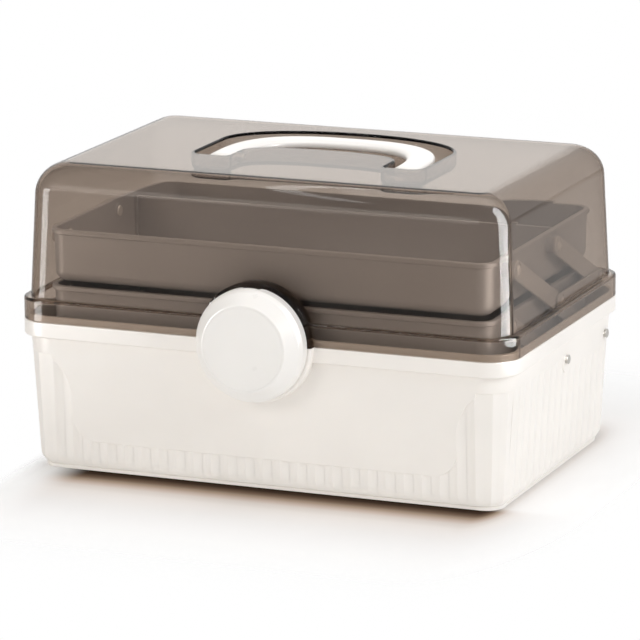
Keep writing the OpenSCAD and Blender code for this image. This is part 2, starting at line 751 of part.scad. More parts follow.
base_shell();
lid_cover();
hinge_pin_left();
hinge_pin_right();
latch_button();
latch_face();
latch_pin();
handle_grip();
handle_pin_left();
handle_pin_right();
middle_tray();
middle_divider();
upper_tray();
upper_divider();
lower_front_arm_left();
lower_front_arm_right();
lower_rear_arm_left();
lower_rear_arm_right();
upper_front_arm_left();
upper_front_arm_right();
upper_rear_arm_left();
upper_rear_arm_right();
tie_bar_left();
tie_bar_right();
base_pins();
middle_front_pins();
middle_centre_pins();
middle_rear_pins();
upper_tray_pins();
pivot_washers();
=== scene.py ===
import math

import bmesh
import bpy
from mathutils import Matrix, Quaternion, Vector


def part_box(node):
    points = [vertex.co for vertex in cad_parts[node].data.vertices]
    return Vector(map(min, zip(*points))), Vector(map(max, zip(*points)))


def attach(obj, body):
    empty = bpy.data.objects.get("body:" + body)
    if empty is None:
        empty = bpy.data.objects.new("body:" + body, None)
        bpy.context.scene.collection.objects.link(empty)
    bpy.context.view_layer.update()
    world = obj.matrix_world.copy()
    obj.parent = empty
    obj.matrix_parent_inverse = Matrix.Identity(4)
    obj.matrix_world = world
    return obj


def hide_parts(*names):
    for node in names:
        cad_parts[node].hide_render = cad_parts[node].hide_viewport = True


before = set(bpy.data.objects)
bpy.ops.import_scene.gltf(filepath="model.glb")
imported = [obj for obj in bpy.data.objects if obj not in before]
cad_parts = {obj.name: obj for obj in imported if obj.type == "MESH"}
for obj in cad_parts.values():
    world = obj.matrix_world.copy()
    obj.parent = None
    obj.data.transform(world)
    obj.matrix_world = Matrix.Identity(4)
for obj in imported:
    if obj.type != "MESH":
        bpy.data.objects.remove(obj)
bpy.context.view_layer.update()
scene = bpy.context.scene

# Shapes are in millimetres, and camera, floor and lamps are in metres
MM = 0.001
X, Y, Z = 0, 1, 2
LEFT, RIGHT = -1, 1
SIDES = (LEFT, RIGHT)


# Sizes and places that the part gives: a node's beginning, end, middle and length along an axis

def low(node, axis):
    return round(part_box(node)[0][axis]/MM, 2)


def high(node, axis):
    return round(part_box(node)[1][axis]/MM, 2)


def mid(node, axis):
    return round((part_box(node)[0][axis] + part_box(node)[1][axis])/2/MM, 2)


def extent(node, axis):
    return round(high(node, axis) - low(node, axis), 2)


RIM_X = high("base_shell", X)
TOP_Z = high("lid_cover", Z)
HINGE_X, HINGE_Y = mid("hinge_pin_right", X), mid("hinge_pin_right", Y)
HANDLE_Y, HANDLE_Z = mid("handle_pin_right", Y), mid("handle_pin_right", Z)
GRIP_HALF, GRIP_BACK = high("handle_grip", X), high("handle_grip", Y)
GRIP_HALF_T = extent("handle_grip", Z)/2
LATCH_BACK, LATCH_Z = high("latch_button", Y), mid("latch_button", Z)
LATCH_AXIS_Y, LATCH_AXIS_Z = mid("latch_pin", Y), mid("latch_pin", Z)
PIVOT_FRONT = mid("middle_front_pins", Y)
PIVOT_MID = mid("middle_centre_pins", Y)
PIVOT_REAR = mid("middle_rear_pins", Y)
BASE_PIVOT_Z = mid("base_pins", Z)
MIDDLE_PIVOT_Z = mid("middle_centre_pins", Z)
UPPER_PIVOT_Z = mid("upper_tray_pins", Z)
LAYER_1, ARM_T = low("lower_front_arm_right", X), extent("lower_front_arm_right", X)
LAYER_2 = low("upper_front_arm_right", X)
LAYER_3, BAR_T = low("tie_bar_right", X), extent("tie_bar_right", X)

# Sizes that several pieces share

RIM_Y, RIM_R = 108.2, 20.0
PART_Z = mid("hinge_pin_right", Z)
RIM_Z0 = PART_Z - 9.9
FLANGE_Z0, FLANGE_Z1 = PART_Z + 0.2, PART_Z + 14.5
LID_WALL = 2.2
BOSS_R, BOSS_Y = 37.8, -113.0
KNUCKLE_R, KNUCKLE_PLAY = 4.5, 0.4
BASE_KNUCKLE, LID_KNUCKLE = 12.0, 16.0
LUG_R, LUG_HALF = 2.1, 5.5
PLAY = 0.1


# Camera, set to the photograph's view

CAM_AZIMUTH = 22.128
CAM_ELEVATION = 13.291
CAM_ROLL = -0.296
CAM_DISTANCE = 2.88144
CAM_TARGET = Vector((-0.00199, 0.0, 0.0859))
CAM_SENSOR = 36.0
CAM_CLIP_START, CAM_CLIP_END = 0.05, 60
# The focal length is in pixels of a picture that is this wide
CAM_FOCAL = 4535.48
FRAME_WIDTH = 640.0


def cos(degrees):
    return math.cos(math.radians(degrees))


def sin(degrees):
    return math.sin(math.radians(degrees))


def make_camera():
    data = bpy.data.cameras.new("camera")
    camera = bpy.data.objects.new("camera", data)
    scene.collection.objects.link(camera)
    data.sensor_width = CAM_SENSOR
    data.lens = CAM_FOCAL*CAM_SENSOR/FRAME_WIDTH
    data.clip_start = CAM_CLIP_START
    data.clip_end = CAM_CLIP_END
    level = cos(CAM_ELEVATION)
    back = Vector((sin(CAM_AZIMUTH)*level, -cos(CAM_AZIMUTH)*level, sin(CAM_ELEVATION)))
    camera.location = CAM_TARGET + back*CAM_DISTANCE
    camera.rotation_mode = "QUATERNION"
    roll = Quaternion((0, 0, 1), math.radians(CAM_ROLL))
    camera.rotation_quaternion = (-back).to_track_quat("-Z", "Y") @ roll
    scene.camera = camera


make_camera()


# Shader nodes

def new_node(tree, kind, inputs=None, **settings):
    """A shader node. Each of its inputs takes a value, or another node's output."""
    node = tree.nodes.new("ShaderNode" + kind)
    for name, value in settings.items():
        setattr(node, name, value)
    for name, value in (inputs or {}).items():
        if isinstance(value, bpy.types.NodeSocket):
            tree.links.new(value, node.inputs[name])
        else:
            node.inputs[name].default_value = value
    return node


def new_material(name):
    material = bpy.data.materials.new(name)
    material.use_nodes = True
    material.node_tree.nodes.clear()
    return material, material.node_tree


def object_place(tree):
    return new_node(tree, "TexCoord").outputs["Object"]


def maths(tree, operation, *values):
    node = new_node(tree, "Math", dict(enumerate(values)), operation=operation)
    return node.outputs["Value"]


def vector_maths(tree, operation, *values):
    node = new_node(tree, "VectorMath", dict(enumerate(values)), operation=operation)
    return node.outputs["Value" if operation == "LENGTH" else "Vector"]


def smooth_step(tree, value, start, end):
    """A value that goes softly from 0 at start to 1 at end."""
    inputs = {"Value": value, "From Min": start, "From Max": end}
    return new_node(tree, "MapRange", inputs, interpolation_type="SMOOTHSTEP").outputs["Result"]


def noise(tree, place, scale, detail):
    return new_node(tree, "TexNoise", {"Vector": place, "Scale": scale, "Detail": detail}).outputs["Fac"]


def uneven(tree, pattern, value, spread):
    """A value that follows a pattern, at most spread above or below."""
    inputs = {"Value": pattern, "To Min": value - spread, "To Max": value + spread}
    return new_node(tree, "MapRange", inputs).outputs["Result"]


def colour_ramp(tree, factor, stops):
    """A colour that runs through stops of position and colour."""
    node = new_node(tree, "ValToRGB", {"Fac": factor})
    elements = node.color_ramp.elements
    for i, (position, colour) in enumerate(stops):
        element = elements[i] if i < 2 else elements.new(position)
        element.position = position
        element.color = (*colour, 1)
    return node.outputs["Color"]


def mix_shaders(tree, factor, first, second):
    return new_node(tree, "MixShader", {"Fac": factor, 1: first, 2: second}).outputs["Shader"]


# Materials

CLOUD_SCALE, GLOSS_SCALE, GRAIN_SCALE, METAL_SCALE = 14, 60, 1600, 900
CLOUDINESS = 0.02
PLASTIC_IOR = 1.46
LID_IOR = 1.22
SKIN_DEPTH = 0.002
GRAIN_DEPTH = 0.0004


def linear(r, g, b):
    """sRGB values of 0 to 255 as the linear colour that a shader takes."""
    out = []
    for v in (r, g, b):
        v /= 255
        out.append(v/12.92 if v <= 0.04045 else ((v + 0.055)/1.055)**2.4)
    return tuple(out)


def moulded_plastic(name, colour, roughness, grain=0.02, subsurface=0.0):
    """Moulded plastic: soft uneven gloss, a very fine grain and a faint cloudiness."""
    material, tree = new_material(name)
    place = object_place(tree)
    darker = [c*(1 - CLOUDINESS) for c in colour]
    lighter = [min(1, c*(1 + CLOUDINESS)) for c in colour]
    clouds = noise(tree, place, CLOUD_SCALE, 3)
    height = noise(tree, place, GRAIN_SCALE, 2)
    bump = new_node(tree, "Bump", {"Height": height, "Strength": grain, "Distance": GRAIN_DEPTH})
    shader = new_node(tree, "BsdfPrincipled", {
        "Base Color": colour_ramp(tree, clouds, [(0.35, darker), (0.65, lighter)]),
        "Roughness": uneven(tree, noise(tree, place, GLOSS_SCALE, 4), roughness, 0.06),
        "Normal": bump.outputs["Normal"],
        "IOR": PLASTIC_IOR,
        "Subsurface Weight": subsurface,
        "Subsurface Radius": (1.0, 0.8, 0.6),
        "Subsurface Scale": SKIN_DEPTH,
    })
    new_node(tree, "OutputMaterial", {"Surface": shader.outputs["BSDF"]})
    return material


def smoky_plastic(name, passed):
    """Clear smoky plastic: glass that takes up light inside its wall. Lamps shine straight through it.

    passed is the share of red, green and blue that comes through the lid's wall.
    """
    material, tree = new_material(name)
    glass = new_node(tree, "BsdfGlass", {"IOR": LID_IOR, "Roughness": 0.0, "Color": (1, 1, 1, 1)})
    clear = new_node(tree, "BsdfTransparent", {"Color": (0.97, 0.97, 0.97, 1)})
    path = new_node(tree, "LightPath").outputs
    straight = maths(tree, "MAXIMUM", path["Is Shadow Ray"], path["Is Diffuse Ray"])
    taken = [-math.log(share)/(LID_WALL*MM) for share in passed]
    density = max(taken)
    tint = [1 - t/density for t in taken]
    smoke = new_node(tree, "VolumeAbsorption", {"Color": (*tint, 1), "Density": density})
    new_node(tree, "OutputMaterial", {
        "Surface": mix_shaders(tree, straight, glass.outputs["BSDF"], clear.outputs["BSDF"]),
        "Volume": smoke.outputs["Volume"],
    })
    return material


def satin_metal(name, colour, metallic):
    """Rolled metal with a soft uneven gloss."""
    material, tree = new_material(name)
    shader = new_node(tree, "BsdfPrincipled", {
        "Base Color": (*colour, 1),
        "Metallic": metallic,
        "Roughness": uneven(tree, noise(tree, object_place(tree), METAL_SCALE, 2), 0.32, 0.08),
    })
    new_node(tree, "OutputMaterial", {"Surface": shader.outputs["BSDF"]})
    return material


CREAM = moulded_plastic("cream_plastic", linear(242, 237, 231), 0.36, subsurface=0.05)
WHITE = moulded_plastic("white_plastic", linear(243, 240, 236), 0.30, grain=0.01, subsurface=0.05)
TAUPE = moulded_plastic("taupe_plastic", linear(199, 199, 201), 0.42, grain=0.03)
# The arms' plastic is the trays' taupe, painted lighter to stand in for the side light that catches the arms
# against the shaded tray walls
ARM_PAINTED_LIGHTER = moulded_plastic("arm_plastic", linear(219, 218, 217), 0.42, grain=0.03)
SMOKE = smoky_plastic("smoky_plastic", (0.665, 0.608, 0.562))
STEEL = satin_metal("pin_steel", linear(188, 185, 180), 1.0)
BRIGHT = satin_metal("pin_bright", linear(240, 238, 235), 0.4)


# Outlines

def arc_points(cx, cz, rx, rz, start, end, count):
    """Points on an oval round cx, cz, from one angle to another."""
    step = (end - start)/count
    return [(cx + rx*cos(start + step*i), cz + rz*sin(start + step*i)) for i in range(count + 1)]


def squared(share, power):
    """A cosine or sine, bent so that the oval drawn with it becomes squarer as power rises above 2."""
    return math.copysign(abs(share)**(2/power), share)


def arch(half, y_mid, y_end, power, count=48):
    """Half a squarish oval, from the right round the back to the left."""
    turns = [180*i/count for i in range(count + 1)]
    return [(half*squared(cos(a), power), y_mid + (y_end - y_mid)*squared(sin(a), power)) for a in turns]


def rounded(corners, segments=5):
    """A polyline from (x, z, radius) corners, each one rounded with an arc of its radius."""
    out = []
    for i, (x, z, radius) in enumerate(corners):
        here = Vector((x, z))
        if radius <= 0 or i in (0, len(corners) - 1):
            out.append((x, z))
            continue
        before = Vector(corners[i - 1][:2]) - here
        after = Vector(corners[i + 1][:2]) - here
        half = before.angle(after)/2
        cut = radius/math.tan(half)
        start = here + before.normalized()*cut
        end = here + after.normalized()*cut
        centre = here + (before.normalized() + after.normalized()).normalized()*radius/math.sin(half)
        a = start - centre
        turn = a.angle_signed(end - centre)
        for j in range(segments + 1):
            out.append(tuple(centre + Matrix.Rotation(-turn*j/segments, 2) @ a))
    return out


def rod(radius, start, end, start_edge, end_edge, segments):
    """Profile of a round bar from start to end along its axis, with a rounded edge at each end."""
    corners = [(0, start, 0), (radius, start, start_edge), (radius, end, end_edge), (0, end, 0)]
    return rounded(corners, segments)


def sided(profile, hand):
    """A turned profile that points outwards on the right-hand side, and its mirror image for the left."""
    return profile if hand == RIGHT else [(radius, -along) for radius, along in profile]


def shifted(outline, distance):
    """An outline moved outwards along its normals."""
    count = len(outline)
    area = sum(outline[i - 1][0]*outline[i][1] - outline[i][0]*outline[i - 1][1] for i in range(count))
    sign = 1 if area > 0 else -1
    out = []
    for i in range(count):
        here = Vector(outline[i])
        before = (here - Vector(outline[i - 1])).normalized()
        after = (Vector(outline[(i + 1) % count]) - here).normalized()
        normal_before = Vector((before.y, -before.x))*sign
        normal_after = Vector((after.y, -after.x))*sign
        middle = (normal_before + normal_after).normalized()
        out.append(tuple(here + middle*distance/max(0.4, middle.dot(normal_before))))
    return out


def plate_steps(near, far, edge):
    """Steps of outward shift and depth through a plate from near to far, with both its edges rounded."""
    turns = (0, 30, 60, 90)
    steps = [(-edge*(1 - sin(a)), near + edge*(1 - cos(a))) for a in turns]
    return steps + [(-edge*(1 - cos(a)), far - edge*(1 - sin(a))) for a in turns]


# Meshes

# Rings on the axis of a turned solid keep this radius
AXIS_R = 0.01
# Edges that bend by more than this many degrees stay sharp
SHARP = 32
WELD = 0.002


def make_mesh(name, points, faces):
    mesh = bpy.data.meshes.new(name)
    mesh.from_pydata([Vector(p)*MM for p in points], [], faces)
    mesh.validate()
    obj = bpy.data.objects.new(name, mesh)
    scene.collection.objects.link(obj)
    return obj


def loft(name, rings, loop=False):
    """A closed solid through rings of equally many points, with flat ends or closed on itself in a loop."""
    count = len(rings[0])
    points = [p for r in rings for p in r]
    faces = []
    last = len(rings) if loop else len(rings) - 1
    for i in range(last):
        a = i*count
        b = ((i + 1) % len(rings))*count
        for j in range(count):
            k = (j + 1) % count
            faces.append((a + j, a + k, b + k, b + j))
    if not loop:
        faces.append(tuple(range(count - 1, -1, -1)))
        faces.append(tuple(range((len(rings) - 1)*count, len(rings)*count)))
    obj = make_mesh(name, points, faces)
    work = bmesh.new()
    work.from_mesh(obj.data)
    bmesh.ops.recalc_face_normals(work, faces=work.faces)
    work.to_mesh(obj.data)
    work.free()
    return obj


def box_ring(half_x, half_y, radius, z, segments):
    """Points of a rectangle with round corners, counted round from the right."""
    out = []
    for side_x, side_y, start in ((1, 1, 0), (-1, 1, 90), (-1, -1, 180), (1, -1, 270)):
        for i in range(segments + 1):
            a = start + 90*i/segments
            x = side_x*(half_x - radius) + radius*cos(a)
            out.append((x, side_y*(half_y - radius) + radius*sin(a), z))
    return out


def box_loft(name, profile, half_x, half_y, corner, loop=False, segments=14):
    """A box-like solid. Its profile is (x, z) on the right-hand side, and the other sides follow it.

    half_x and half_y belong to the profile's widest point, and corner gives the plan radius for x and z.
    """
    rings = [box_ring(x, half_y - half_x + x, corner(x, z), z, segments) for x, z in profile]
    return loft(name, rings, loop)


def lathe(name, profile, centre, axis="x", segments=48, loop=False):
    """A solid turned round the X axis, or round the Y axis and pointing to the front where axis is "-y".

    The profile is (radius, distance along the axis) from axis to axis, or with loop an outline beside it.
    """
    x, y, z = centre
    rings = []
    for radius, along in profile:
        radius = max(radius, AXIS_R)
        ring = []
        for i in range(segments):
            c = radius*cos(360*i/segments)
            s = radius*sin(360*i/segments)
            ring.append((x + along, y + c, z + s) if axis == "x" else (x + c, y - along, z + s))
        rings.append(ring)
    return loft(name, rings, loop)


def turned_pair(name, profile, x, y, z, segments=48, way=1):
    """A turned solid on both sides of the box, pointing outwards, or inwards with way -1."""
    return [lathe(name, sided(profile, way*hand), (hand*x, y, z), segments=segments) for hand in SIDES]


def block(name, x, y, z, edge=0.0):
    """A block between the two ends that x, y and z each give, bevelled where edge is given."""
    corners = [(at_x, at_y, at_z) for at_z in z for at_y in y for at_x in x]
    faces = [(0, 2, 3, 1), (4, 5, 7, 6), (0, 1, 5, 4), (1, 3, 7, 5), (3, 2, 6, 7), (2, 0, 4, 6)]
    obj = make_mesh(name, corners, faces)
    if edge:
        work = bmesh.new()
        work.from_mesh(obj.data)
        edges = list(work.edges)
        bmesh.ops.bevel(work, geom=edges, offset=edge*MM, segments=3, profile=0.5, affect="EDGES")
        work.to_mesh(obj.data)
        work.free()
    return obj


def around(middle, half):
    return middle - half, middle + half


def combine(target, tools, operation):
    """Adds tools to target or takes them away from it. Tools are used up."""
    for tool in tools:
        modifier = target.modifiers.new("combine", "BOOLEAN")
        modifier.operation = operation
        modifier.solver = "MANIFOLD"
        modifier.object = tool
    graph = bpy.context.evaluated_depsgraph_get()
    mesh = bpy.data.meshes.new_from_object(target.evaluated_get(graph))
    target.modifiers.clear()
    old = target.data
    target.data = mesh
    bpy.data.meshes.remove(old)
    for tool in tools:
        data = tool.data
        bpy.data.objects.remove(tool)
        bpy.data.meshes.remove(data)
    return target


def joined(name, objects):
    """Several solids that don't touch, as one object."""
    work = bmesh.new()
    for obj in objects:
        work.from_mesh(obj.data)
        bpy.data.objects.remove(obj)
    mesh = bpy.data.meshes.new(name)
    work.to_mesh(mesh)
    work.free()
    out = bpy.data.objects.new(name, mesh)
    scene.collection.objects.link(out)
    return out


def piece(obj, name, body, material, replaced):
    """Names and finishes an object: soft shading and material; it joins its body and hides the node it
    replaces.
    """
    obj.name = name
    obj.data.name = name
    work = bmesh.new()
    work.from_mesh(obj.data)
    bmesh.ops.remove_doubles(work, verts=work.verts, dist=WELD*MM)
    bmesh.ops.dissolve_degenerate(work, dist=WELD*MM, edges=work.edges)
    for face in work.faces:
        face.smooth = True
    for edge in work.edges:
        edge.smooth = len(edge.link_faces) == 2 and edge.calc_face_angle(0) < math.radians(SHARP)
    work.to_mesh(obj.data)
    work.free()
    obj.data.materials.clear()
    obj.data.materials.append(material)
    weighted = obj.modifiers.new("weighted", "WEIGHTED_NORMAL")
    weighted.keep_sharp = True
    weighted.weight = 60
    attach(obj, body)
    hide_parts(replaced)


# Parts that the base and the lid share

# Inside these rings the base's floor and the lid's top are flat
FLOOR_RING, TOP_RING = 140.0, 132.0


def half_boss(back, parting, side):
    """The half disc behind the latch, below the parting height with side -1 and above it with side 1."""
    soft, beyond = 1.6, 60
    disc = lathe("boss", rod(BOSS_R, 0, back - BOSS_Y, 0, soft, 6), (0, back, LATCH_Z), "-y", 128)
    away = block("away", (-beyond, beyond), (-130, -90), sorted((parting, parting - side*beyond)))
    return combine(disc, [away], "DIFFERENCE")


def knuckle(x, length, z0, z1):
    """A hinge knuckle with the web that carries it."""
    half = length/2
    centre = (x, HINGE_Y, PART_Z)
    barrel = lathe("knuckle", rod(KNUCKLE_R, -half, half, 0.4, 0.4, 3), centre, segments=40)
    web = block("web", around(x, half - 0.05), (RIM_Y - 1.5, HINGE_Y), (z0, z1))
    return combine(barrel, [web], "UNION")


# Base

BODY_X, BODY_Y, BODY_R = 161.8, 105.0, 20.0
FLAT_X, FLAT_Y = BODY_X - BODY_R, BODY_Y - BODY_R
FOOT_Z, FOOT_X = 1.5, 153.5
DRAFT = 5.0
LEAN = DRAFT/(RIM_Z0 - FOOT_Z)
TILT = math.degrees(math.atan(LEAN))
FILLET_X, FILLET_Z, FILLET_TURN = 4.5, 8.5, 62
CAVITY_Z, CAVITY_X, CAVITY_TOP_X = 4.1, 154.6, 160.28
LIP_X, LIP_Z = 162.3, PART_Z + 4
FLUTE, FLUTE_TOP = 0.9, 75.0
RIB_PITCH, RIB_REACH = 11.7, 5.8
# Plates and ribs root this deep in the wall, and ribs run this far up behind a smooth area
ROOT, RIB_OVERLAP = 0.6, 1.0
CORNER_RIBS = (27, 59)
BASE_BOSS_BACK = -103.35
LEDGE_HALF, LEDGE_Y, LEDGE_Z = 10, (-114.6, -111), (69.8, 71.8)
PIVOT_R, PIVOT_LENGTH = 6.0, 9.0


def on_wall(turn, distance, shift=(0.0, 0.0)):
    """Places points (along the wall, into the wall, up the wall) on the wall that a turn faces."""
    lean = Matrix.Rotation(math.radians(TILT), 4, "X")
    place = Matrix.Translation((0, DRAFT - distance, FOOT_Z))
    move = Matrix.Translation((shift[0], shift[1], 0))
    return move @ Matrix.Rotation(math.radians(turn), 4, "Z") @ place @ lean


class Panel:
    """The smooth area of a wall: low in the middle, and rising in an S on each side to the flutes' top.

    half is where the S starts, foot_z the height in the middle, foot_r the radius at the bottom of the S,
    and bend_w and bend_h are the size of its upper bend, which is cut off where the wall's flat part ends.
    """

    def __init__(self, half, foot_z, foot_r, bend_w, bend_h, flat):
        self.half, self.foot_z, self.foot_r = half, foot_z, foot_r
        self.bend_w, self.bend_h, self.flat = bend_w, bend_h, flat

    def outline(self):
        end = 90.0
        if self.half + self.bend_w > self.flat + 1e-6:
            end = math.degrees(math.acos((self.flat - self.half - self.bend_w)/self.bend_w))
        r = self.foot_r
        side = arc_points(self.half - r, self.foot_z + r, r, r, -90, 0, 12)
        bend = (self.half + self.bend_w, FLUTE_TOP - self.bend_h, self.bend_w, self.bend_h)
        side += arc_points(*bend, 180, end, 12)
        side.append((side[-1][0], FLUTE_TOP + 3))
        side = [(x, z - FOOT_Z) for x, z in side]
        return side + [(-x, z) for x, z in reversed(side)]

    def height(self, x):
        """Height of the smooth area's lower edge at a distance from its middle."""
        if x <= self.half - self.foot_r:
            return self.foot_z
        if x < self.half:
            rise = math.sqrt(self.foot_r**2 - (x - self.half + self.foot_r)**2)
            return self.foot_z + self.foot_r - rise
        if x < self.half + self.bend_w:
            across = (self.half + self.bend_w - x)/self.bend_w
            return FLUTE_TOP - self.bend_h + self.bend_h*math.sqrt(max(0, 1 - across**2))
        return FLUTE_TOP


def panel_plate(place, shift, panel):
    """The smooth area as a thin plate on the wall, with a soft edge."""
    outline = [(x + shift, z) for x, z in panel.outline()]
    edge, sink, count = 0.35, 0.012, 5
    steps = [(0.0, FLUTE + ROOT)]
    for i in range(count + 1):
        a = 90*i/count
        steps.append((-edge*(1 - cos(a)), sink + edge*(1 - sin(a))))
    rings = []
    for grow, depth in steps:
        rings.append([place @ Vector((x, depth, z)) for x, z in shifted(outline, grow)])
    return loft("panel", rings)


def rib_height(u):
    """Cross-section of the ridge between two hollow flutes: near 1 on its crest and 0 where it runs out."""
    near = abs(u)/RIB_REACH
    return max(0.0, 1 - math.sqrt(near**2 + 0.003))**2


def corner_sag(beyond, radius):
    """How far a round corner has fallen back from the wall's plane."""
    if beyond <= 0:
        return 0.0
    return radius - math.sqrt(max(radius**2 - beyond**2, 0.0))


def rib_path(along, top):
    """Points down the hollow wall, each with its outward direction and the share of the ridge's height."""
    fine, coarse, count, full = 0.6, 4.0, 8, 3
    path = []
    z = top
    while z > FILLET_Z + 0.5:
        path.append((Vector((along, FLUTE, z)), Vector((0, -1, 0)), 1.0))
        z -= fine if top - z < coarse else coarse
    for i in range(count + 1):
        a = FILLET_TURN*i/count
        fade = 1.0 if i <= full else 1 - (i - full)/(count - full)*0.98
        normal = Vector((0, -cos(a)/FILLET_X, -sin(a)/FILLET_Z)).normalized()
        point = Vector((along, FLUTE + FILLET_X*(1 - cos(a)), FILLET_Z*(1 - sin(a))))
        path.append((point, normal, fade))
    return path


def rib(place, along, top, flat):
    """A ridge between two flutes, down the wall and round the bottom edge.

    Beyond flat, half the length of the wall's flat part, it falls back with the round corner. A ridge on
    the corner itself has no flat part, and narrows with the corner.
    """
    half = (0.07, 0.15, 0.27, 0.42, 0.6, 0.8, 1)
    samples = [u*RIB_REACH for u in (*[-u for u in reversed(half)], 0, *half)]
    drop, sink = 0.02, 0.015
    rings = []
    for surface, normal, fade in rib_path(along, top):
        bend = BODY_R - DRAFT + surface.z*LEAN - surface.y
        narrow = 1.0 if flat else bend/BODY_R
        section = [(u*narrow, (FLUTE - drop)*rib_height(u)*fade - sink) for u in samples]
        section += [(side*RIB_REACH*narrow, -ROOT) for side in (0.9, -0.9)]
        ring = []
        for u, lift in section:
            sag = corner_sag(abs(along + u) - flat, bend)
            ring.append(place @ (surface + Vector((u, sag, 0)) + normal*lift))
        rings.append(ring)
    return loft("rib", rings)


def wall_ribs(place, panel, shift, flat):
    """The ridges along one wall, up to its smooth area."""
    count = int(flat/RIB_PITCH)
    ribs = []
    for i in range(-count, count + 1):
        along = i*RIB_PITCH
        top = panel.height(abs(along - shift) + RIB_REACH) - FOOT_Z + RIB_OVERLAP
        ribs.append(rib(place, along, top, flat))
    return ribs


def wall_relief():
    """The smooth areas and the ridges of all four walls and corners."""
    gap = 0.4
    front = Panel(half=128.5, foot_z=20.0, foot_r=16.0, bend_w=22.0, bend_h=30.0, flat=FLAT_X - gap)
    side_start, side_end = PIVOT_MID - 10, FLAT_Y - gap
    side_half, side_shift = (side_end - side_start)/2, (side_end + side_start)/2
    bend = 5.0
    side = Panel(side_half - bend, foot_z=65.0, foot_r=bend, bend_w=bend, bend_h=bend, flat=side_half)
    plates, ribs = [], []
    for turn in (0, 180):
        place = on_wall(turn, BODY_Y)
        plates.append(panel_plate(place, 0.0, front))
        ribs += wall_ribs(place, front, 0.0, FLAT_X)
    for hand in SIDES:
        place = on_wall(90*hand, BODY_X)
        plates.append(panel_plate(place, hand*side_shift, side))
        ribs += wall_ribs(place, side, hand*side_shift, FLAT_Y)
    for x in SIDES:
        for y in (-1, 1):
            for a in CORNER_RIBS:
                turn = 90 + math.degrees(math.atan2(y*sin(a), x*cos(a)))
                place = on_wall(turn, BODY_R, (x*FLAT_X, y*FLAT_Y))
                ribs.append(rib(place, 0.0, FLUTE_TOP - FOOT_Z + RIB_OVERLAP, 0.0))
    return [joined("plates", plates), joined("ribs", ribs)]


def base_corner(x, z):
    """Plan radius of the base's corners: the rim keeps its own, and the body's is larger."""
    if x > BODY_X + 0.1:
        return RIM_R - (RIM_X - x)
    return max(BODY_R - (BODY_X - x), 9.5)


def base_tub():
    """The hollow tub with its foot ring, rim and lip, before any relief."""
    bottom = BODY_X - DRAFT - FLUTE - FILLET_X
    fillet = arc_points(bottom, FOOT_Z + FILLET_Z, FILLET_X, FILLET_Z, -FILLET_TURN, 0, 10)
    profile = [
        (FLOOR_RING, 0, 0), (FOOT_X, 0, 0.5), (FOOT_X, 2.1, 0.2), (FOOT_X - 0.5, 2.3, 0),
        *[(x, z, 0) for x, z in fillet],
        (BODY_X - FLUTE, RIM_Z0, 0.5), (RIM_X, RIM_Z0, 1.1), (RIM_X, PART_Z, 0.7), (LIP_X, PART_Z, 0.3),
        (LIP_X, LIP_Z, 0.7), (CAVITY_TOP_X, LIP_Z, 0.7), (CAVITY_X, CAVITY_Z, 4.0),
        (FLOOR_RING, CAVITY_Z, 0),
    ]
    return box_loft("base", rounded(profile), RIM_X, RIM_Y, base_corner)


def base_band():
    """The smooth band between the flutes and the rim, flush with the smooth areas."""
    inside = BODY_X - 2.0
    at_top = BODY_X - LEAN*(RIM_Z0 - FLUTE_TOP)
    top = RIM_Z0 + 0.4
    profile = [
        (inside, FLUTE_TOP + 4, 0), (inside, FLUTE_TOP, 0), (at_top, FLUTE_TOP, 0.5),
        (BODY_X + 0.02, top, 0), (inside, top, 0),
    ]
    return box_loft("band", rounded(profile), RIM_X, RIM_Y, base_corner, loop=True)


def base_knuckles():
    reach = (LID_KNUCKLE + BASE_KNUCKLE)/2 + KNUCKLE_PLAY
    places = [hand*HINGE_X + end*reach for hand in SIDES for end in (-1, 1)]
    return joined("knuckles", [knuckle(x, BASE_KNUCKLE, PART_Z - KNUCKLE_R, PART_Z) for x in places])


def base_pivots():
    """The round bosses inside the walls, which the lower arms turn against."""
    profile = rod(PIVOT_R, 0, PIVOT_LENGTH, 0.6, 0, 5)
    start = LAYER_1 + ARM_T - 0.1
    pivots = []
    for hand in SIDES:
        for y in (PIVOT_MID, PIVOT_REAR):
            pivots.append(lathe("pivot", sided(profile, hand), (hand*start, y, BASE_PIVOT_Z)))
    return joined("pivots", pivots)


def build_base():
    tub = base_tub()
    extras = [
        base_band(),
        *wall_relief(),
        half_boss(BASE_BOSS_BACK, PART_Z, -1),
        base_knuckles(),
        base_pivots(),
        block("ledge", around(0, LEDGE_HALF), LEDGE_Y, LEDGE_Z, 0.4),
    ]
    combine(tub, extras, "UNION")
    piece(tub, "base_tub", "base", CREAM, "base_shell")


# Lid

LID_X, LID_R = RIM_X - 4.4, RIM_R - 4.4
LID_TOP_X, LID_EDGE = 157.0, 19.5
LID_BOSS_BACK = -100.0
# Of the well and its island: half width, where the arch starts, its back and its squareness
WELL_HALF, WELL_ARCH_Y, WELL_BACK, WELL_POWER = 77.2, 24.0, 66.5, 2.1
ISLAND_HALF, ISLAND_ARCH_Y, ISLAND_BACK, ISLAND_POWER = 52.4, -12.0, 9.0, 2.6
WELL_FRONT = -29.6
WELL_FLOOR, WELL_FILLET, WELL_FLARE = 183.2, 2.2, 1.3
KNOB_R, KNOB_LENGTH = 4.2, 2.4


def lid_corner(wall):
    """Plan radius of the lid's corners: the flange follows the rim, and the top edge shrinks."""
    def radius(x, z):
        if z <= FLANGE_Z1 + 1:
            return RIM_R - (RIM_X - x)
        inset = max(0.0, LID_TOP_X - wall - x) if z > TOP_Z - LID_EDGE else 0.0
        return max(LID_R - wall - 0.6*inset, 0.5)
    return radius


